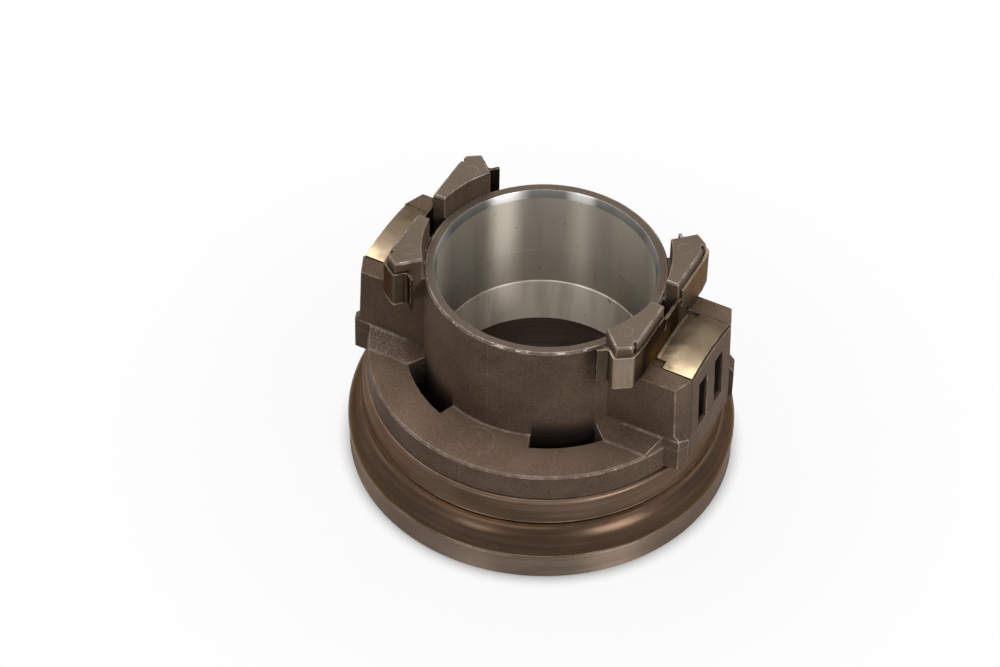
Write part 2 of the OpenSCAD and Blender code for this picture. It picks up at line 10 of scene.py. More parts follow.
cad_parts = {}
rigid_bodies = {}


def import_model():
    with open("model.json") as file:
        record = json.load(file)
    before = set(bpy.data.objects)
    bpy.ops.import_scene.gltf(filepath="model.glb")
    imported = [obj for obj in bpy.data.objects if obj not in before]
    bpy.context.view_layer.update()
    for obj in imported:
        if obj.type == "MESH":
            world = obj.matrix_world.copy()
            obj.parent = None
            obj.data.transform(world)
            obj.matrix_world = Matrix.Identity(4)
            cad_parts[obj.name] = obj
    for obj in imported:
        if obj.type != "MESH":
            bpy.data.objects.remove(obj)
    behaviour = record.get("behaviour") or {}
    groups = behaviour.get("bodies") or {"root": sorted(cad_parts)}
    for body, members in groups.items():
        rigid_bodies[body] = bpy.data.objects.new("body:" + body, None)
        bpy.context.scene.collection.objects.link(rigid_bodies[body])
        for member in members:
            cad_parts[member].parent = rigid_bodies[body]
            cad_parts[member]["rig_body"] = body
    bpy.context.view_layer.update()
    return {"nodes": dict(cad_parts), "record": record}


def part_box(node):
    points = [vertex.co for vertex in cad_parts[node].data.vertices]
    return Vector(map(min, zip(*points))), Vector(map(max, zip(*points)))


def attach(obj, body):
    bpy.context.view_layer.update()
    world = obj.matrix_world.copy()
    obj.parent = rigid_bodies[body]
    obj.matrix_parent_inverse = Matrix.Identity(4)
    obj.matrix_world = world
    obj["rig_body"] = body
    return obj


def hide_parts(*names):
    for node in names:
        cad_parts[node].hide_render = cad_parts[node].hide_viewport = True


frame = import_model()

bl_info = {
    "name": "Clutch release bearing finish",
    "version": (1, 0, 0),
    "blender": (4, 5, 0),
    "location": "View3D > Sidebar > Release bearing",
    "description": "Rounds the edges of a clutch release bearing and gives every piece its finish",
    "category": "Object",
}

MM = 0.001
WHITE = (1, 1, 1)
GUIDE = next(mount for mount in frame["record"]["mounts"] if mount["name"] == "guide_bore")
GUIDE_TOP = GUIDE["pos_m"][2] + GUIDE["dims"]["length_mm"] * MM / 2
BALLS = sorted(name for name in frame["nodes"] if name.startswith("ball_") and name != "ball_cage")

SHARP_ANGLE = math.radians(25)  # sharper edges are rounded
SMOOTH_ANGLE = math.radians(20)  # faces that differ by less share their normals
RING_ANGLE = math.radians(40)  # takes the place of both on the round parts
ROUND_ANGLE = math.radians(65)  # how far a rounding looks for the faces that it joins
FLAT_ANGLE = math.radians(0.3)  # faces that differ by less become one
MERGE_DIST = 2e-6  # corners of the CAD's loose triangles that are closer become one

LINE_HALF = 0.16 * MM  # half of the width of a thin worn line
FADE = 0.2 * MM  # width over which most marks fade
QUARTER_TURN = 0.25  # turns the drawn-out reflections of turned metal upright
# The flange's windows: sine of their angle from the y axis, half of its range, and its fade.
WINDOW = (0.571, 0.20, 0.02)
# Painted highlights on sectors of the lead-in: direction and half width in degrees, and strength.
LEAD_HIGHLIGHTS = ((138, 9, 1.0), (98, 6.5, 1.0), (190, 9, 0.45), (42, 9, 0.35), (318, 9, 0.9), (262, 7, 0.7))

# Radii in metres over which the floor turns white round the part, and then loses the last of its shadow.
FLOOR_NEAR = (0.052, 0.060)
FLOOR_FAR = (0.056, 0.16)
# Soft boxes: name, place and size in metres, and power in watts.
LAMPS = (("overhead", (-0.28, 0.20, 1.20), 1.0, 13.8),
         ("right_box", (0.84, -0.33, 0.56), 0.4, 5.0),
         ("left_box", (-0.11, -0.89, 0.56), 0.26, 1.15))
LAMP_AIM = Vector((0, 0, 0.04))


def length(name, description, default):
    """A size in metres that the sidebar can change."""
    return FloatProperty(name=name, description=description, default=default, unit="LENGTH", precision=5)


def colour(name, description, default):
    """A colour that the sidebar can change."""
    return FloatVectorProperty(name=name, description=description, default=default, subtype="COLOR",
                               size=3, min=0, max=1)


class SleeveProps(PropertyGroup):
    """Finish of the cast guide sleeve."""

    edge_round: length("Edge rounding", "Width of the rounding on the casting's edges", 0.25 * MM)
    bore_reach: length("Machined radius", "Radius up to which the bore is machined", 31.5 * MM)
    lead_z: length("Lead-in start", "Height at which the bright lead-in starts", 65.35 * MM)
    rim_z: length("Rim height", "Height of the sleeve's rim", 67.85 * MM)
    rim_r: length("Rim radius", "Outer radius of the sleeve's rim", 34.4 * MM)
    claw_z: length("Claw height", "Height of the claws' tops", 74.55 * MM)
    flange_z: length("Flange height", "Height of the flange's upper face", 35.55 * MM)
    lug_half: length("Lug half width", "Distance of the lugs' flanks from the middle", 18.3 * MM)
    ramp_run: length("Ramp length", "Length of the ramps beside the lugs", 5.9 * MM)
    ramp_rise: length("Ramp height", "Height of the ramps beside the lugs", 3.5 * MM)
    pocket_z: length("Pocket height", "Height of the middle of the lugs' pockets", 44.75 * MM)
    pocket_y: length("Pocket place", "Distance of the lugs' pockets from the middle", 5.1 * MM)
    pocket_x: length("Pocket edge", "Distance of the pockets' dark insides from the axis", 50.9 * MM)
    pocket_half: length("Pocket half width", "Half of the width of the lugs' pockets", 2.7 * MM)
    pocket_rise: length("Pocket half height", "Half of the height of the lugs' pockets", 8.3 * MM)
    pocket_depth: length("Pocket depth", "Depth of the lugs' pockets", 9.2 * MM)
    lug_root: length("Lug root", "Radius outside which the lugs and their ramps stand", 38 * MM)
    bore_edge: length("Bore edge", "Radius inside which the edges are worn less", 32 * MM)
    # The windows' walls carry painted shade with old oil.
    window_r: length("Window wall", "Radius of the dirty walls in the flange's windows", 39.2 * MM)
    seam_x: length("Mould seam", "Place of the mould's seam across the part", -0.5 * MM)
    mark_z: length("Bore mark height", "Height of the turning mark in the bore", 45 * MM)
    pin_x: length("Pin mark across", "Place of the mould's pin marks on the claws, across", 33.4 * MM)
    pin_y: length("Pin mark along", "Place of the mould's pin marks on the claws, along", 18.4 * MM)
    pin_r: length("Pin mark radius", "Radius of the mould's pin marks on the claws", 1.9 * MM)
    gate_y: length("Flange mark place", "Distance of the flange's round mould mark from the axis", 40.8 * MM)
    gate_r: length("Flange mark radius", "Radius of the flange's round mould mark", 5.0 * MM)
    cast_dark: colour("Cast dark", "Dark tone of the oiled cast skin", (0.066, 0.043, 0.030))
    cast_light: colour("Cast light", "Light tone of the oiled cast skin", (0.161, 0.110, 0.078))
    claw: colour("Claw tops", "Greyer skin of the claws' tops", (0.118, 0.091, 0.070))
    rim: colour("Rim", "Dull machined metal of the rim", (0.090, 0.072, 0.057))
    worn: colour("Worn edge", "Bare metal on worn edges", (0.42, 0.36, 0.31))
    bare: colour("Nicks", "Bare bright metal in the rim's nicks", (0.62, 0.58, 0.52))
    bore: colour("Bore", "Machined metal of the bore", (0.372, 0.338, 0.284))
    bore_stain: colour("Bore stain", "Oil stain in the bore", (0.20, 0.172, 0.138))
    guide: colour("Guide bore", "Run-in metal of the guide bore", (0.84, 0.765, 0.655))
    lead: colour("Lead-in", "Turned metal of the lead-in", (0.255, 0.248, 0.236))
    # Colour of the painted highlights on the lead-in.
    painted_lead_highlight: colour("Burnished lead-in", "Bright metal where the lead-in is burnished", (0.66, 0.655, 0.64))
    # Painted shade, with old oil, in the pockets and windows.
    dirt_and_shade: colour("Dirt", "Old oil and dirt in the pockets and windows", (0.014, 0.010, 0.008))
    cast_tint: colour("Cast tint", "Tint of glancing reflections on the cast skin", (0.45, 0.37, 0.30))
    bore_tint: colour("Bore tint", "Tint of glancing reflections in the bore", (0.44, 0.39, 0.33))


class ClipProps(PropertyGroup):
    """Finish of the spring clips."""

    edge_round: length("Edge rounding", "Width of the rounding on the sheet's edges", 0.12 * MM)
    plate_z: length("Plate height", "Height of the seat plates' upper face", 59.98 * MM)
    straw_y: length("Straw start", "Distance before the middle where the straw colour starts", 3 * MM)
    straw_run: length("Straw run", "Distance over which the straw colour sets in", 9 * MM)
    straw_sway: length("Straw sway", "How far the start of the straw colour wanders", 14 * MM)
    wall_half: length("Wall half length", "Distance from the middle where the oil on the wall ends", 18 * MM)
    rear_y: length("Rear strap", "Distance behind the middle where the rear straps darken", 12 * MM)
    sooty_y: length("Sooty strap", "Distance before the middle where the left strap darkens", 17 * MM)
    wiped_y: length("Wiped strap", "Distance before the middle where the right strap is wiped", 22.5 * MM)
    rubbed_y: length("Rubbed strap", "Distance behind the middle where the right clip is rubbed", 2 * MM)
    tab_x: length("Tab place", "Distance of the turned tabs from the axis", 31.2 * MM)
    tab_y: length("Tab start", "Distance from the middle where the turned tabs start", 20 * MM)
    amber_y: length("Amber place", "Distance before the middle of the amber oil", 9 * MM)
    amber_half: length("Amber half length", "Half of the length of the amber oil", 5 * MM)
    bend_x: length("Bend place", "Distance of the heat stain beside the bend from the axis", 40 * MM)
    corner_x: length("Corner edge", "Distance from the axis where the corners' heat stain ends", 46 * MM)
    corner_y: length("Corner start", "Distance from the middle where the corners' heat stain starts", 8 * MM)
    straw: colour("Straw", "Pale straw temper colour at the plates' front ends", (0.36, 0.28, 0.175))
    olive: colour("Olive", "Olive bronze temper colour", (0.150, 0.116, 0.078))
    bronze: colour("Bronze", "Darker bronze temper colour", (0.098, 0.072, 0.049))
    brown: colour("Brown", "Dark oil on the walls, the tabs and some straps", (0.052, 0.036, 0.024))
    beige: colour("Beige", "Wiped and rubbed sheet of the right clip", (0.285, 0.220, 0.162))
    amber: colour("Amber", "Amber oil low on the wall", (0.310, 0.170, 0.065))
    smoke: colour("Smoke", "Dark heat stain beside the bend", (0.052, 0.034, 0.022))
    worn: colour("Worn edge", "Bare metal on worn edges", (0.40, 0.34, 0.27))
    tint: colour("Tint", "Tint of glancing reflections on the sheet", (0.32, 0.24, 0.16))


class RingProps(PropertyGroup):
    """Finish of the cap, the outer ring and the thrust ring."""

    edge_round: length("Edge rounding", "Width of the rounding on the rings' edges", 0.2 * MM)
    lip_r: length("Lip radius", "Radius of the cap's bright inner lip", 37.0 * MM)
    # Heights of painted highlight lines on the cap's and outer ring's roundings.
    cap_highlight: length("Cap gleam", "Height of the rubbed line above the cap's foot", 0.65 * MM)
    shell_highlight: length("Outer ring gleam", "Height of the rubbed line above the outer ring's foot", 0.4 * MM)
    crease_drop: length("Crease place", "Depth of the rusty crease below the cap's foot", 0.6 * MM)
    crease_half: length("Crease half width", "Half of the width of the rusty crease", 0.22 * MM)
    cap: colour("Cap", "Brown oiled sheet of the cap", (0.125, 0.083, 0.057))
    shell: colour("Outer ring", "Brown oiled steel of the outer ring", (0.072, 0.045, 0.030))
    turned: colour("Thrust ring", "Turned steel of the thrust ring", (0.188, 0.142, 0.110))
    # The straw tint beside the creases is partly a painted highlight.
    straw: colour("Straw", "Straw tint beside the creases", (0.195, 0.130, 0.075))
    oil: colour("Oil film", "Old oil on the cap and the rings", (0.040, 0.024, 0.014))
    rust: colour("Rust", "Rust in the creases", (0.060, 0.027, 0.013))
    worn: colour("Worn edge", "Bare metal on worn edges", (0.40, 0.30, 0.21))
    tint: colour("Tint", "Tint of glancing reflections on the rings", (0.55, 0.45, 0.36))


class InnerProps(PropertyGroup):
    """Finish of the pieces inside the bearing."""

    spring: colour("Spring steel", "Oiled steel of the spring, washer and snap ring", (0.085, 0.072, 0.058))
    ball: colour("Balls", "Polished bearing steel", (0.62, 0.62, 0.63))
    cage: colour("Cage", "Dark moulded cage", (0.035, 0.03, 0.026))
    seal: colour("Seals", "Black seal rubber", (0.014, 0.014, 0.014))


class StageProps(PropertyGroup):
    """Camera, floor and lights."""

    azimuth: FloatProperty(name="Azimuth", description="Direction of the camera round the part",
                           default=math.radians(26.55), subtype="ANGLE")
    elevation: FloatProperty(name="Elevation", description="Height angle of the camera",
                             default=math.radians(45.2), subtype="ANGLE")
    roll: FloatProperty(name="Roll", description="Turn of the camera about its own axis",
                        default=math.radians(1.39), subtype="ANGLE")
    distance: length("Distance", "Distance from the camera to its target", 1.0286)
    target: FloatVectorProperty(name="Target", description="Point in the middle of the picture",
                                default=(-0.0138, -0.0003, 0.035), subtype="TRANSLATION", size=3, precision=4)
    lens: FloatProperty(name="Lens", description="Focal length in millimetres", default=129.6)
    floor_size: length("Floor size", "Width of the floor", 8.0)
    floor_colour: colour("Floor", "Pale floor", (0.42, 0.41, 0.40))
    sky: FloatProperty(name="Room light", description="Strength of the even light of the room", default=0.25)
    sky_lean: FloatProperty(name="Room light lean", description="How much brighter the room is on the right",
                            default=0.5)


class Term:
    """A shader value that takes part in Python arithmetic, where each step adds a Math node."""

    def __init__(self, finish, socket):
        self.finish = finish
        self.socket = socket

    def math(self, operation, *values):
        return self.finish.node("ShaderNodeMath", {"operation": operation}, dict(enumerate(values)))

    def __add__(self, other):
        return self.math("ADD", self, other)

    def __radd__(self, other):
        return self.math("ADD", other, self)

    def __sub__(self, other):
        return self.math("SUBTRACT", self, other)

    def __rsub__(self, other):
        return self.math("SUBTRACT", other, self)

    def __mul__(self, other):
        return self.math("MULTIPLY", self, other)

    def __rmul__(self, other):
        return self.math("MULTIPLY", other, self)

    def __truediv__(self, other):
        return self.math("DIVIDE", self, other)

    def __rtruediv__(self, other):
        return self.math("DIVIDE", other, self)

    def __pow__(self, other):
        return self.math("POWER", self, other)

    def __rpow__(self, other):
        return self.math("POWER", other, self)

    def __abs__(self):
        return self.math("ABSOLUTE", self)


class Finish:
    """A node tree that is written as expressions."""

    def __init__(self, tree):
        self.tree = tree

    def node(self, kind, settings=None, values=None, out=0):
        """Adds a node: its settings first, then the values or links of its sockets."""
        made = self.tree.nodes.new(kind)
        for key, value in (settings or {}).items():
            setattr(made, key, value)
        for key, value in (values or {}).items():
            self.feed(made.inputs[key], value)
        return Term(self, made.outputs[out])

    def feed(self, socket, value):
        """Links a term to a socket, or sets the socket's own value."""
        if isinstance(value, Term):
            self.tree.links.new(value.socket, socket)
        elif socket.type == "RGBA" and len(value) == 3:
            socket.default_value = (*value, 1)
        else:
            socket.default_value = value

    def place(self):
        """Object coordinates as a vector, and as x, y, z and the distance from the bearing axis."""
        at = self.node("ShaderNodeTexCoord", out="Object")
        x, y, z = (self.node("ShaderNodeSeparateXYZ", values={0: at}, out=i) for i in range(3))
        return at, x, y, z, (x * x + y * y) ** 0.5

    def stretched(self, at, scale):
        """Coordinates that are scaled by a number for each axis."""
        return self.node("ShaderNodeMapping", {"vector_type": "POINT"}, {"Vector": at, "Scale": scale})

    def noise(self, at, scale, detail=3.0, roughness=0.55):
        return self.node("ShaderNodeTexNoise", {"noise_dimensions": "3D"},
                         {"Vector": at, "Scale": scale, "Detail": detail, "Roughness": roughness})

    def step(self, value, low, high):
        """Rises smoothly from 0 at low to 1 at high."""
        return self.node("ShaderNodeMapRange", {"interpolation_type": "SMOOTHSTEP", "clamp": True},
                         {"Value": value, "From Min": low, "From Max": high, "To Min": 0.0, "To Max": 1.0})

    def band(self, value, middle, half, soft):
        """1 within half of the middle, falling to 0 over soft."""
        return 1 - self.step(abs(value - middle), half, half + soft)

    def mix(self, factor, first, second):
        """A colour from first at 0 to second at 1."""
        return self.node("ShaderNodeMix", {"data_type": "RGBA", "blend_type": "MIX", "clamp_factor": True},
                         {0: factor, 6: first, 7: second}, out=2)

    def blend(self, factor, first, second):
        """A number from first at 0 to second at 1."""
        return self.node("ShaderNodeMix", {"data_type": "FLOAT", "clamp_factor": True},
                         {0: factor, 2: first, 3: second}, out=0)

    def attribute(self, name):
        return self.node("ShaderNodeAttribute", {"attribute_name": name}, out="Fac")

    def bump(self, height, distance, strength=1.0):
        return self.node("ShaderNodeBump",
                         values={"Strength": strength, "Distance": distance, "Height": height})

    def shown(self):
        """1 for what the camera sees, mirrored and through glass too, and 0 for light on its way."""
        seen, mirrored, through = (self.node("ShaderNodeLightPath", out=ray) for ray in
                                   ("Is Camera Ray", "Is Glossy Ray", "Is Transmission Ray"))
        return self.node("ShaderNodeMath", {"operation": "MINIMUM"}, {0: seen + mirrored + through, 1: 1.0})


def new_finish(name):
    """A material with a bare Principled shader, and the finish that writes its nodes."""
    material = bpy.data.materials.new(name)
    material.use_nodes = True
    return material, Finish(material.node_tree), material.node_tree.nodes["Principled BSDF"]


def shade(finish, shader, **sockets):
    """Feeds the shader's sockets, named with _ for a space."""
    for key, value in sockets.items():
        finish.feed(shader.inputs[key.replace("_", " ")], value)


def dress(obj, material):
    """Makes a material the only one of a mesh."""
    obj.data.materials.clear()
    obj.data.materials.append(material)


def corner_normals(bm, wear, smooth):
    """A normal for each corner of each face. Smooth faces share theirs, and a rounding
    takes those of the faces that it joins, so flat faces stay flat."""
    normals = []
    for face in bm.faces:
        reach = math.cos(ROUND_ANGLE if face[wear] else smooth)
        for corner in face.loops:
            around = corner.vert.link_loops
            fan = [loop for loop in around
                   if not loop.face[wear] and loop.face.normal.dot(face.normal) > reach]
            fan = fan or [loop for loop in around if loop.face[wear]]
            normals.append(sum((loop.face.normal * loop.calc_angle() for loop in fan), Vector()).normalized())
    return normals


def rounded_copy(node, name, width, slot, sharp=SHARP_ANGLE, smooth=SMOOTH_ANGLE):
    """A merged copy of a CAD node whose sharp edges are rounded, standing for that node.
    The roundings of outer edges carry the attribute edge_wear."""
    source = frame["nodes"][node]
    bm = bmesh.new()
    bm.from_mesh(source.data)
    bmesh.ops.remove_doubles(bm, verts=bm.verts, dist=MERGE_DIST)
    bmesh.ops.dissolve_limit(bm, angle_limit=FLAT_ANGLE, verts=bm.verts, edges=bm.edges,
                             use_dissolve_boundaries=False)
    bmesh.ops.triangulate(bm, faces=[face for face in bm.faces if len(face.verts) > 4])
    wear = bm.faces.layers.float.new("edge_wear")
    outer = [edge for edge in bm.edges if edge.is_convex and edge.calc_face_angle(0) > sharp]
    made = bmesh.ops.bevel(bm, geom=outer, offset=width, offset_type="OFFSET", affect="EDGES", segments=2,
                           profile=0.5, material=-1, clamp_overlap=False, loop_slide=True)
    for face in made["faces"]:
        face[wear] = 1.0
    for face in bm.faces:
        face.smooth = True
    bm.normal_update()
    normals = corner_normals(bm, wear, smooth)
    mesh = bpy.data.meshes.new(name)
    bm.to_mesh(mesh)
    bm.free()
    stale = mesh.attributes.get("custom_normal")
    if stale:
        mesh.attributes.remove(stale)
    mesh.normals_split_custom_set(normals)
    piece = bpy.data.objects.new(name, mesh)
    bpy.context.scene.collection.objects.link(piece)
    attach(piece, source["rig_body"])
    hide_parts(node)
    return piece


def cast_material(props):
    """Oiled cast skin with greyer claw tops and rim, a flange face painted lighter as if lit, marks of the
    mould, worn edges, painted highlights on the ramps and the tube's foot, painted glints, and painted shade
    with old oil in the pockets and windows."""
    material, finish, shader = new_finish("cast_skin_finish")
    at, x, y, z, r = finish.place()
    stain = finish.noise(at, 60, 4)
    grain = finish.noise(at, 1900, 4, 0.75)
    pits = finish.noise(at, 3400, 3, 0.65)
    tone = finish.step(stain * 0.4 + grain * 0.6, 0.31, 0.71)
    patchy = finish.step(finish.noise(at, 240, 4, 0.7), 0.40, 0.64)
    chips = finish.step(finish.noise(at, 760, 3, 0.7), 0.56, 0.66)
    outside = finish.step(r, props.lug_root, props.lug_root + 2 * MM)

    # The skin, with greyer claw tops and rim.
    flange_top = finish.band(z, props.flange_z, 0.3 * MM, FADE)
    claw_top = finish.step(z, props.claw_z - 0.5 * MM, props.claw_z - 0.2 * MM)
    inside_rim = 1 - finish.step(r, props.rim_r, props.rim_r + 0.3 * MM)
    rim = finish.band(z, props.rim_z, 0.15 * MM, 0.1 * MM) * inside_rim
    # The flange's upper face is painted lighter than the rest of the skin, as if lit.
    base = finish.mix(tone + 0.3 * flange_top, props.cast_dark, props.cast_light)
    base = finish.mix(claw_top * (0.65 + 0.35 * tone), base, props.claw)
    base = finish.mix(rim * (0.4 + 0.6 * tone), base, props.rim)

    # Marks of the mould: its pins on the claws, its gate on the flange, and its seam.
    from_pin = ((abs(x) - props.pin_x) ** 2 + (abs(y) - props.pin_y) ** 2) ** 0.5
    pin_mark = claw_top * finish.band(from_pin, props.pin_r, 0.06 * MM, 0.14 * MM)
    from_gate = (x * x + (y + props.gate_y) ** 2) ** 0.5
    gate_mark = flange_top * finish.band(from_gate, props.gate_r, 0.08 * MM, FADE)
    seam = finish.band(x, props.seam_x, 0.1 * MM, 0.15 * MM) * (1 - claw_top) * (1 - rim)
    marks = (pin_mark * 0.20 + gate_mark * 0.16 + seam * 0.09) * (0.2 + 0.8 * patchy)
    base = finish.mix(marks, base, props.worn)

    # Worn edges and the rim's nicks.
    dull = 0.6 * finish.step(r, props.bore_edge + 0.4 * MM, props.bore_edge) + 0.35 * flange_top * outside
    wear = finish.attribute("edge_wear") * (0.12 + 0.34 * patchy + 0.54 * chips * patchy) * (1 - dull)
    base = finish.mix(wear, base, props.worn)
    rim_edge = finish.band(r, props.rim_r - 0.2 * MM, 0.3 * MM, FADE) \
        * finish.step(z, props.rim_z - 0.5 * MM, props.rim_z - 0.3 * MM)
    nicks = rim_edge * finish.step(finish.noise(at, 330, 2, 0.6), 0.58, 0.63)
    base = finish.mix(0.9 * nicks, base, props.bare)

    # Painted highlights along the head and foot of the ramps, and painted glints on the ramps of the left
    # lug.
    on_flange = finish.band(z, props.flange_z, LINE_HALF, FADE)
    ramp_top_highlight = finish.band(z, props.flange_z + props.ramp_rise, 0.22 * MM, 0.3 * MM) \
        * finish.band(abs(y), props.lug_half, 0.5 * MM, 0.3 * MM)
    ramp_foot_highlight = on_flange * finish.band(abs(y), props.lug_half + props.ramp_run, 0.2 * MM, 0.3 * MM)
    ramp_highlights = (ramp_top_highlight + ramp_foot_highlight * 0.7) * outside * (0.12 + 0.5 * patchy)
    base = finish.mix(ramp_highlights, base, props.worn)
    half_run = props.ramp_run / 2
    on_ramp = finish.band(abs(y), props.lug_half + half_run, half_run - 0.3 * MM, FADE) \
        * finish.band(z, props.flange_z + 3 * MM, 2.6 * MM, 0.6 * MM) * outside
    painted_glints = on_ramp * finish.step(pits, 0.53, 0.63) * finish.step(x, 0, -20 * MM)
    base = finish.mix(0.6 * painted_glints, base, props.worn)

    # Painted shade with old oil in the lugs' pockets and the flange's windows, and a painted highlight along
    # the foot of the tube between them.
    half_depth = props.pocket_depth / 2
    pocket = finish.band(abs(y), props.pocket_y, props.pocket_half, FADE) \
        * finish.band(z, props.pocket_z, props.pocket_rise, FADE) \
        * finish.band(abs(x), props.pocket_x - half_depth, half_depth, 0.5 * MM)
    base = finish.mix(pocket * (0.75 + 0.25 * patchy), base, props.dirt_and_shade)
    window = finish.band(abs(x) / r, *WINDOW)
    # A painted highlight along the tube's foot, where its fillet would catch the light.
    foot = on_flange * finish.band(r, props.rim_r, 0.25 * MM, 0.3 * MM)
    base = finish.mix(foot * (1 - window) * (0.15 + 0.4 * patchy), base, props.worn)
    # Painted shade on the tube above the windows and on the windows' walls under the flange.
    behind = finish.step(z, props.flange_z + 7 * MM, props.flange_z) \
        * finish.step(r, props.rim_r + 0.2 * MM, props.rim_r)
    under = finish.step(z, props.flange_z - 0.3 * MM, props.flange_z - 2 * MM) \
        * finish.step(r, props.window_r + 0.4 * MM, props.window_r)
    base = finish.mix(window * (behind + under) * 0.92, base, props.dirt_and_shade)

    rough = finish.blend(wear, 0.54 + 0.16 * grain, 0.40) - 0.10 * claw_top - 0.12 * rim
    metal = finish.blend(wear, 0.15 + 0.15 * claw_top + 0.15 * rim, 0.8)
    height = grain * 0.65 + pits * 0.35 - 0.35 * pin_mark - 0.4 * gate_mark + 0.2 * seam
    shade(finish, shader, Specular_IOR_Level=0.1, Specular_Tint=props.cast_tint)
    shade(finish, shader, Base_Color=base, Roughness=rough, Metallic=metal,
          Normal=finish.bump(height, 0.18 * MM, 0.65))
    return material


def bore_material(props):
    """Turned bore whose fine rings draw the light out into upright bands, with a run-in guide bore
    and a lead-in with painted highlights in places."""
    material, finish, shader = new_finish("turned_bore_finish")
    at, x, y, z, r = finish.place()
    rings = finish.noise(finish.stretched(at, (25, 25, 4200)), 1.0, 2, 0.6)
    smear = finish.noise(finish.stretched(at, (110, 110, 18)), 1.0, 3)
    specks = finish.step(finish.noise(at, 330, 2), 0.71, 0.74)
    scratch = finish.step(finish.noise(finish.stretched(at, (420, 420, 60)), 1.0, 1), 0.72, 0.75)
    lead = finish.step(z, props.lead_z, props.lead_z + 0.1 * MM)
    below = finish.step(z, props.mark_z + 0.2 * MM, props.mark_z - 0.3 * MM)
    mark = finish.band(z, props.mark_z, 0.12 * MM, 0.25 * MM)
    stain = finish.step(smear, 0.42, 0.72) * 0.35 + specks * 0.5 + scratch * 0.2 + below * 0.12 - mark * 0.3
    run_in = finish.step(z, GUIDE_TOP + 0.05 * MM, GUIDE_TOP - 0.05 * MM)
    base = finish.mix(run_in, props.bore, props.guide)
    base = finish.mix(stain * (1 - lead), base, props.bore_stain)
    base = finish.mix(lead, base, props.lead)
    # Painted highlights on sectors of the lead-in, where the lamps' reflections fall.
    for place, spread, strength in LEAD_HIGHLIGHTS:
        place, spread = math.radians(place), math.radians(spread)
        along = (x * math.cos(place) + y * math.sin(place)) / r
        lead_highlight_mask = lead * finish.step(along, math.cos(1.5 * spread), math.cos(0.6 * spread))
        base = finish.mix(lead_highlight_mask * (0.8 + 0.3 * smear) * strength, base, props.painted_lead_highlight)
    rough = finish.blend(lead, 0.38 + 0.12 * rings, 0.34)
    height = finish.blend(lead, rings, 0.5)
    shade(finish, shader, Metallic=1.0, Anisotropic=1.0, Anisotropic_Rotation=QUARTER_TURN,
          Specular_Tint=props.bore_tint)
    shade(finish, shader, Base_Color=base, Roughness=rough, Normal=finish.bump(height, 0.03 * MM, 0.5))
    return material


def clip_material(props):
    """Tempered spring sheet: straw at the plates' front ends and bronze behind, oil on the walls,
    a wiped and rubbed right clip, and dark heat stains at the bends."""
    material, finish, shader = new_finish("tempered_clip_finish")
    at, x, y, z, _ = finish.place()
    cloud = finish.noise(at, 120, 3)
    tint = finish.step(cloud, 0.30, 0.70)
    grain = finish.noise(at, 1500, 2)
    streaks = finish.noise(finish.stretched(at, (900, 900, 140)), 1.0, 3)
    plate = 1 - finish.step(z, props.plate_z + 0.3 * MM, props.plate_z + 1.0 * MM)
    upright = 1 - plate
    right = finish.step(x, -5 * MM, 5 * MM)

    # Temper colours.
    swayed = y + (cloud - 0.5) * props.straw_sway
    front = finish.step(swayed, -props.straw_y, -props.straw_y - props.straw_run)
    base = finish.mix(tint, props.bronze, props.olive)
    base = finish.mix(plate * front, base, props.straw)

    # Oil on the walls, tabs and straps, wiped or rubbed off in places on the right clip.
    wiped = upright * right * finish.step(y, -props.wiped_y, -props.wiped_y - 1.5 * MM)
    base = finish.mix(wiped * (0.35 + 0.8 * streaks), base, props.beige)
    wall = upright * (1 - finish.step(abs(y), props.wall_half, props.wall_half + 4 * MM))
    rear = upright * finish.step(y, props.rear_y, props.rear_y + 5 * MM)
    sooty = upright * (1 - right) * finish.step(y, -props.sooty_y, -props.sooty_y - 3 * MM)
    tab = finish.step(abs(y), props.tab_y, props.tab_y + 1 * MM) \
        * finish.step(abs(x), props.tab_x + 1 * MM, props.tab_x)
    oily = wall * (0.78 + 0.22 * tint) + rear * 0.5 + sooty * (0.4 + 0.5 * tint) + tab * 0.85
    base = finish.mix(oily, base, props.brown)
    rubbed = upright * right * finish.step(y, props.rubbed_y, props.rubbed_y + 4 * MM)
    base = finish.mix(rubbed * (0.3 + 0.8 * streaks), base, props.beige)
    amber = wall * finish.band(y, -props.amber_y, props.amber_half, 4 * MM) \
        * finish.step(z, props.plate_z + 9 * MM, props.plate_z + 3 * MM)
    base = finish.mix(amber * (0.25 + 0.7 * streaks), base, props.amber)

    # Heat stains and worn edges.
    soot = finish.step(finish.noise(at, 170, 3, 0.6), 0.44, 0.64)
    beside_bend = plate * finish.band(abs(x), props.bend_x, 1.5 * MM, 5 * MM)
    corner = plate * finish.step(abs(y), props.corner_y, props.corner_y + 4 * MM) \
        * finish.step(abs(x), props.corner_x + 3 * MM, props.corner_x)
    stain = soot * (beside_bend + 0.5 * corner)
    base = finish.mix(0.65 * stain, base, props.smoke)
    wear = finish.attribute("edge_wear") * finish.step(finish.noise(at, 500, 3), 0.42, 0.62)
    base = finish.mix(0.6 * wear, base, props.worn)

    shade(finish, shader, Specular_Tint=props.tint)
    shade(finish, shader, Base_Color=base, Metallic=0.95 - 0.4 * stain,
          Roughness=0.34 + 0.14 * cloud, Normal=finish.bump(grain, 0.04 * MM, 0.3))
    return material


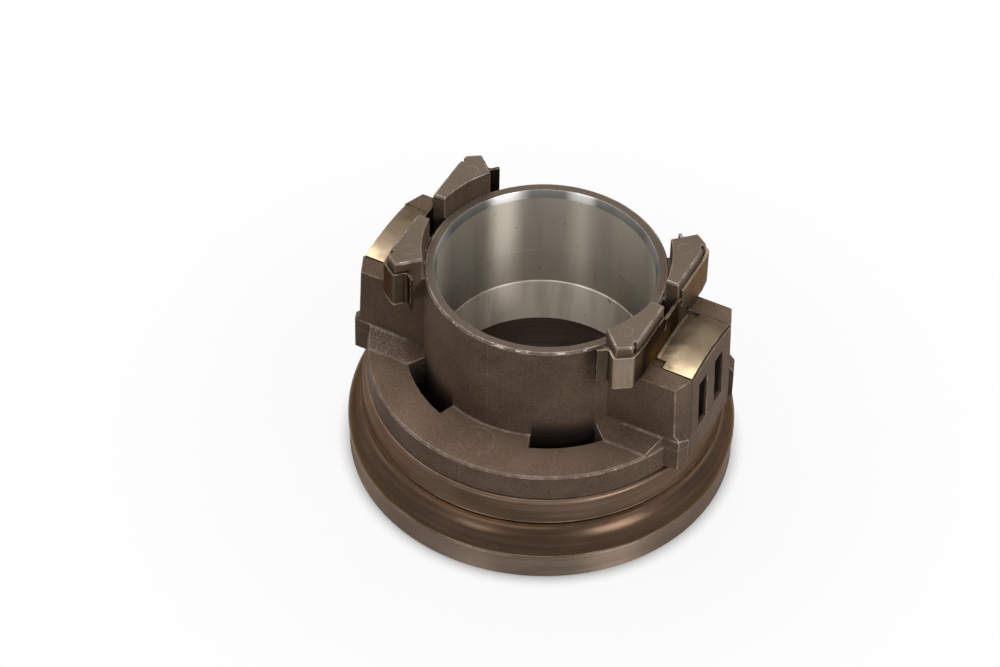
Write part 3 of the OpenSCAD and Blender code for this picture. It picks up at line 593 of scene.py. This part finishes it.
def ring_material(name, base_colour, props, film, rough, line_scale, rust_lines=(), highlight_heights=(), drawn_out=0.0):
    """Oiled steel with fine lines round the axis, worn edges, rust in creases with a straw band beside them
    that is partly a painted highlight, and painted highlight lines.
    A rust line is its height and half width, a gleam the height of a painted highlight line."""
    material, finish, shader = new_finish(name)
    at, _, _, z, r = finish.place()
    lines = finish.noise(finish.stretched(at, (18, 18, line_scale)), 1.0, 3, 0.65)
    cloud = finish.noise(finish.stretched(at, (35, 35, 90)), 1.0, 4)
    fine = finish.noise(at, 2200, 2)
    patchy = finish.step(finish.noise(finish.stretched(at, (50, 50, 160)), 1.0, 4, 0.6), 0.36, 0.62)
    oily = finish.step(finish.noise(finish.stretched(at, (26, 26, 60)), 1.0, 4), 0.44, 0.66)

    bright = tuple(1.28 * c for c in base_colour)
    dark = tuple(0.74 * c for c in base_colour)
    base = finish.mix(finish.step(lines * 0.55 + cloud * 0.45, 0.36, 0.66), dark, bright)
    base = finish.mix(film * oily, base, props.oil)
    lip = finish.band(r, props.lip_r, 0.4 * MM, FADE)
    wear = finish.attribute("edge_wear") * (0.6 * patchy + 0.6 * lip)
    base = finish.mix(wear, base, props.worn)
    # Rust in the creases, with a straw band beside them that is partly tint and partly a painted highlight.
    for height, half in rust_lines:
        straw = finish.band(z, height, 2.2 * half, 2 * half) * (0.06 + 0.5 * patchy)
        crease = finish.band(z, height, half, half) * (0.35 + 0.6 * patchy)
        base = finish.mix(straw, base, props.straw)
        base = finish.mix(crease, base, props.rust)
    # Painted highlight lines, where the lamps catch the roundings.
    for height in highlight_heights:
        gleam = finish.band(z, height, LINE_HALF, FADE) * (0.08 + 0.62 * patchy)
        base = finish.mix(gleam, base, props.worn)

    shade(finish, shader, Metallic=0.8, Specular_IOR_Level=0.2, Specular_Tint=props.tint,
          Anisotropic=drawn_out, Anisotropic_Rotation=QUARTER_TURN)
    shade(finish, shader, Base_Color=base, Roughness=rough + 0.12 * cloud,
          Normal=finish.bump(lines * 0.6 + fine * 0.4, 0.04 * MM, 0.35))
    return material


def plain_material(name, base_colour, metallic, rough, grain_scale, bump):
    """A finish with fine grain and a slight change of tone."""
    material, finish, shader = new_finish(name)
    at = finish.node("ShaderNodeTexCoord", out="Object")
    grain = finish.noise(at, grain_scale, 3)
    dark = tuple(0.75 * c for c in base_colour)
    base = finish.mix(finish.step(grain, 0.35, 0.65), dark, base_colour)
    shade(finish, shader, Metallic=metallic, Base_Color=base, Roughness=rough + 0.1 * grain,
          Normal=finish.bump(grain, bump, 0.4))
    return material


class BEARING_OT_sleeve(Operator):
    """Round the cast sleeve's edges and give it its finish"""

    bl_idname = "release_bearing.sleeve"
    bl_label = "Guide sleeve"

    def execute(self, context):
        props = context.scene.bearing_sleeve
        piece = rounded_copy("sleeve", "guide_sleeve", props.edge_round, "cast_sleeve")
        dress(piece, cast_material(props))
        piece.data.materials.append(bore_material(props))
        for face in piece.data.polygons:
            corners = (piece.data.vertices[i].co for i in face.vertices)
            if max(corner.xy.length for corner in corners) < props.bore_reach:
                face.material_index = 1
        return {"FINISHED"}


class BEARING_OT_clips(Operator):
    """Round the spring clips' edges and give them their temper colours"""

    bl_idname = "release_bearing.clips"
    bl_label = "Fork clips"

    def execute(self, context):
        props = context.scene.bearing_clips
        material = clip_material(props)
        for side in ("right", "left"):
            piece = rounded_copy(f"fork_clip_{side}", f"spring_clip_{side}", props.edge_round, "spring_clip")
            dress(piece, material)
        return {"FINISHED"}


class BEARING_OT_rings(Operator):
    """Round the edges of the cap, the outer ring and the thrust ring and give them their finish"""

    bl_idname = "release_bearing.rings"
    bl_label = "Cap and rings"

    def execute(self, context):
        props = context.scene.bearing_rings
        cap_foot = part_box("retaining_cap")[0].z
        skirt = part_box("outer_ring")[0].z
        angles = (RING_ANGLE, RING_ANGLE)
        cap = rounded_copy("retaining_cap", "cap_sheet", props.edge_round, "oiled_sheet", *angles)
        dress(cap, ring_material("oiled_cap_finish", props.cap, props, film=0.5, rough=0.27,
                                 line_scale=1500, highlight_heights=[cap_foot + props.cap_highlight]))
        shell = rounded_copy("outer_ring", "drawn_outer_ring", props.edge_round, "oiled_shell", *angles)
        crease = (cap_foot - props.crease_drop, props.crease_half)
        dress(shell, ring_material("oiled_shell_finish", props.shell, props, film=0.4, rough=0.20,
                                   line_scale=900, rust_lines=[crease], highlight_heights=[skirt + props.shell_highlight]))
        ring = rounded_copy("thrust_ring", "turned_thrust_ring", props.edge_round, "turned_steel", *angles)
        dress(ring, ring_material("turned_ring_finish", props.turned, props, film=0.15, rough=0.40,
                                  line_scale=2600, drawn_out=1.0))
        return {"FINISHED"}


class BEARING_OT_inside(Operator):
    """Give the balls, cage, seals and springs their finish"""

    bl_idname = "release_bearing.inside"
    bl_label = "Balls, cage, seals and springs"

    def execute(self, context):
        props = context.scene.bearing_inner
        steel = plain_material("spring_steel_finish", props.spring, metallic=0.9, rough=0.35,
                               grain_scale=700, bump=0.05 * MM)
        rubber = plain_material("seal_rubber_finish", props.seal, metallic=0.0, rough=0.55,
                                grain_scale=900, bump=0.08 * MM)
        cage = plain_material("cage_finish", props.cage, metallic=0.0, rough=0.45,
                              grain_scale=800, bump=0.08 * MM)
        polish = plain_material("ball_finish", props.ball, metallic=1.0, rough=0.08,
                                grain_scale=300, bump=0.005 * MM)
        looks = {"support_washer": steel, "snap_ring": steel, "disc_spring": steel,
                 "inner_seal": rubber, "outer_seal": rubber, "ball_cage": cage}
        looks.update({name: polish for name in BALLS})
        for name, material in looks.items():
            dress(frame["nodes"][name], material)
        return {"FINISHED"}


class BEARING_OT_stage(Operator):
    """Set up the camera, the floor and the soft lights"""

    bl_idname = "release_bearing.stage"
    bl_label = "Stage"

    def execute(self, context):
        props = context.scene.bearing_stage
        self.add_camera(context, props)
        self.add_floor(context, props)
        self.light_room(context, props)
        for lamp in LAMPS:
            self.add_lamp(context, *lamp)
        context.scene.view_settings.view_transform = "Standard"
        return {"FINISHED"}

    def add_camera(self, context, props):
        """The camera at the photograph's angle."""
        data = bpy.data.cameras.new("photo_camera")
        data.lens = props.lens
        data.sensor_width = 36.0
        data.dof.use_dof = False
        data.clip_start = 0.05
        data.clip_end = 20
        camera = bpy.data.objects.new("photo_camera", data)
        context.scene.collection.objects.link(camera)
        turn, lift = props.azimuth, props.elevation
        back = Vector((math.sin(turn) * math.cos(lift), -math.cos(turn) * math.cos(lift), math.sin(lift)))
        look = (-back).to_track_quat("-Z", "Y").to_matrix().to_4x4()
        spot = Matrix.Translation(Vector(props.target) + props.distance * back)
        camera.matrix_world = spot @ look @ Matrix.Rotation(props.roll, 4, "Z")
        context.scene.camera = camera

    def add_floor(self, context, props):
        """A pale floor that keeps the part's shadow and is white further out."""
        bm = bmesh.new()
        bmesh.ops.create_circle(bm, cap_ends=True, segments=64, radius=props.floor_size / 2)
        mesh = bpy.data.meshes.new("floor")
        bm.to_mesh(mesh)
        bm.free()
        floor = bpy.data.objects.new("floor", mesh)
        context.scene.collection.objects.link(floor)
        material, finish, shader = new_finish("floor_finish")
        at, _, _, _, r = finish.place()
        tone = finish.mix(finish.noise(at, 30) * 0.1, props.floor_colour, WHITE)
        shade(finish, shader, Base_Color=tone, Roughness=0.9)
        near = finish.step(r, *FLOOR_NEAR)
        far = finish.step(r, *FLOOR_FAR)
        white = finish.node("ShaderNodeEmission", values={"Color": WHITE, "Strength": 1.0})
        both = finish.node("ShaderNodeMixShader", values={
            0: finish.shown() * near * (0.92 + 0.08 * far), 1: Term(finish, shader.outputs[0]), 2: white})
        finish.feed(material.node_tree.nodes["Material Output"].inputs["Surface"], both)
        dress(floor, material)

    def light_room(self, context, props):
        """A white room whose even light leans to the right of the picture."""
        world = bpy.data.worlds.new("room")
        world.use_nodes = True
        context.scene.world = world
        room = Finish(world.node_tree)
        background = world.node_tree.nodes["Background"]
        room.feed(background.inputs["Color"], WHITE)
        toward = room.node("ShaderNodeTexCoord", out="Generated")
        x, y = (room.node("ShaderNodeSeparateXYZ", values={0: toward}, out=i) for i in range(2))
        to_right = x * math.cos(props.azimuth) + y * math.sin(props.azimuth)
        light = props.sky * (1 + props.sky_lean * to_right)
        room.feed(background.inputs["Strength"], room.blend(room.shown(), light, 1.0))

    def add_lamp(self, context, name, spot, size, power):
        """A square soft box that faces the part."""
        data = bpy.data.lights.new(name, "AREA")
        data.shape = "SQUARE"
        data.size = size
        data.energy = power
        lamp = bpy.data.objects.new(name, data)
        context.scene.collection.objects.link(lamp)
        lamp.location = spot
        lamp.rotation_euler = (LAMP_AIM - Vector(spot)).to_track_quat("-Z", "Y").to_euler()


class BEARING_PT_finish(Panel):
    """Lists the steps that dress the release bearing"""

    bl_idname = "BEARING_PT_finish"
    bl_label = "Release bearing"
    bl_space_type = "VIEW_3D"
    bl_region_type = "UI"
    bl_category = "Release bearing"

    def draw(self, context):
        for step in STEPS:
            self.layout.operator(step.bl_idname)


STEPS = (BEARING_OT_sleeve, BEARING_OT_clips, BEARING_OT_rings, BEARING_OT_inside, BEARING_OT_stage)
GROUPS = {"bearing_sleeve": SleeveProps, "bearing_clips": ClipProps, "bearing_rings": RingProps,
          "bearing_inner": InnerProps, "bearing_stage": StageProps}


def register():
    for cls in (*GROUPS.values(), *STEPS, BEARING_PT_finish):
        bpy.utils.register_class(cls)
    for name, cls in GROUPS.items():
        setattr(bpy.types.Scene, name, PointerProperty(type=cls))


def unregister():
    for name in GROUPS:
        delattr(bpy.types.Scene, name)
    for cls in (BEARING_PT_finish, *reversed(STEPS), *GROUPS.values()):
        bpy.utils.unregister_class(cls)


def main():
    register()
    bpy.ops.release_bearing.sleeve()
    bpy.ops.release_bearing.clips()
    bpy.ops.release_bearing.rings()
    bpy.ops.release_bearing.inside()
    bpy.ops.release_bearing.stage()


if __name__ == "__main__":
    main()
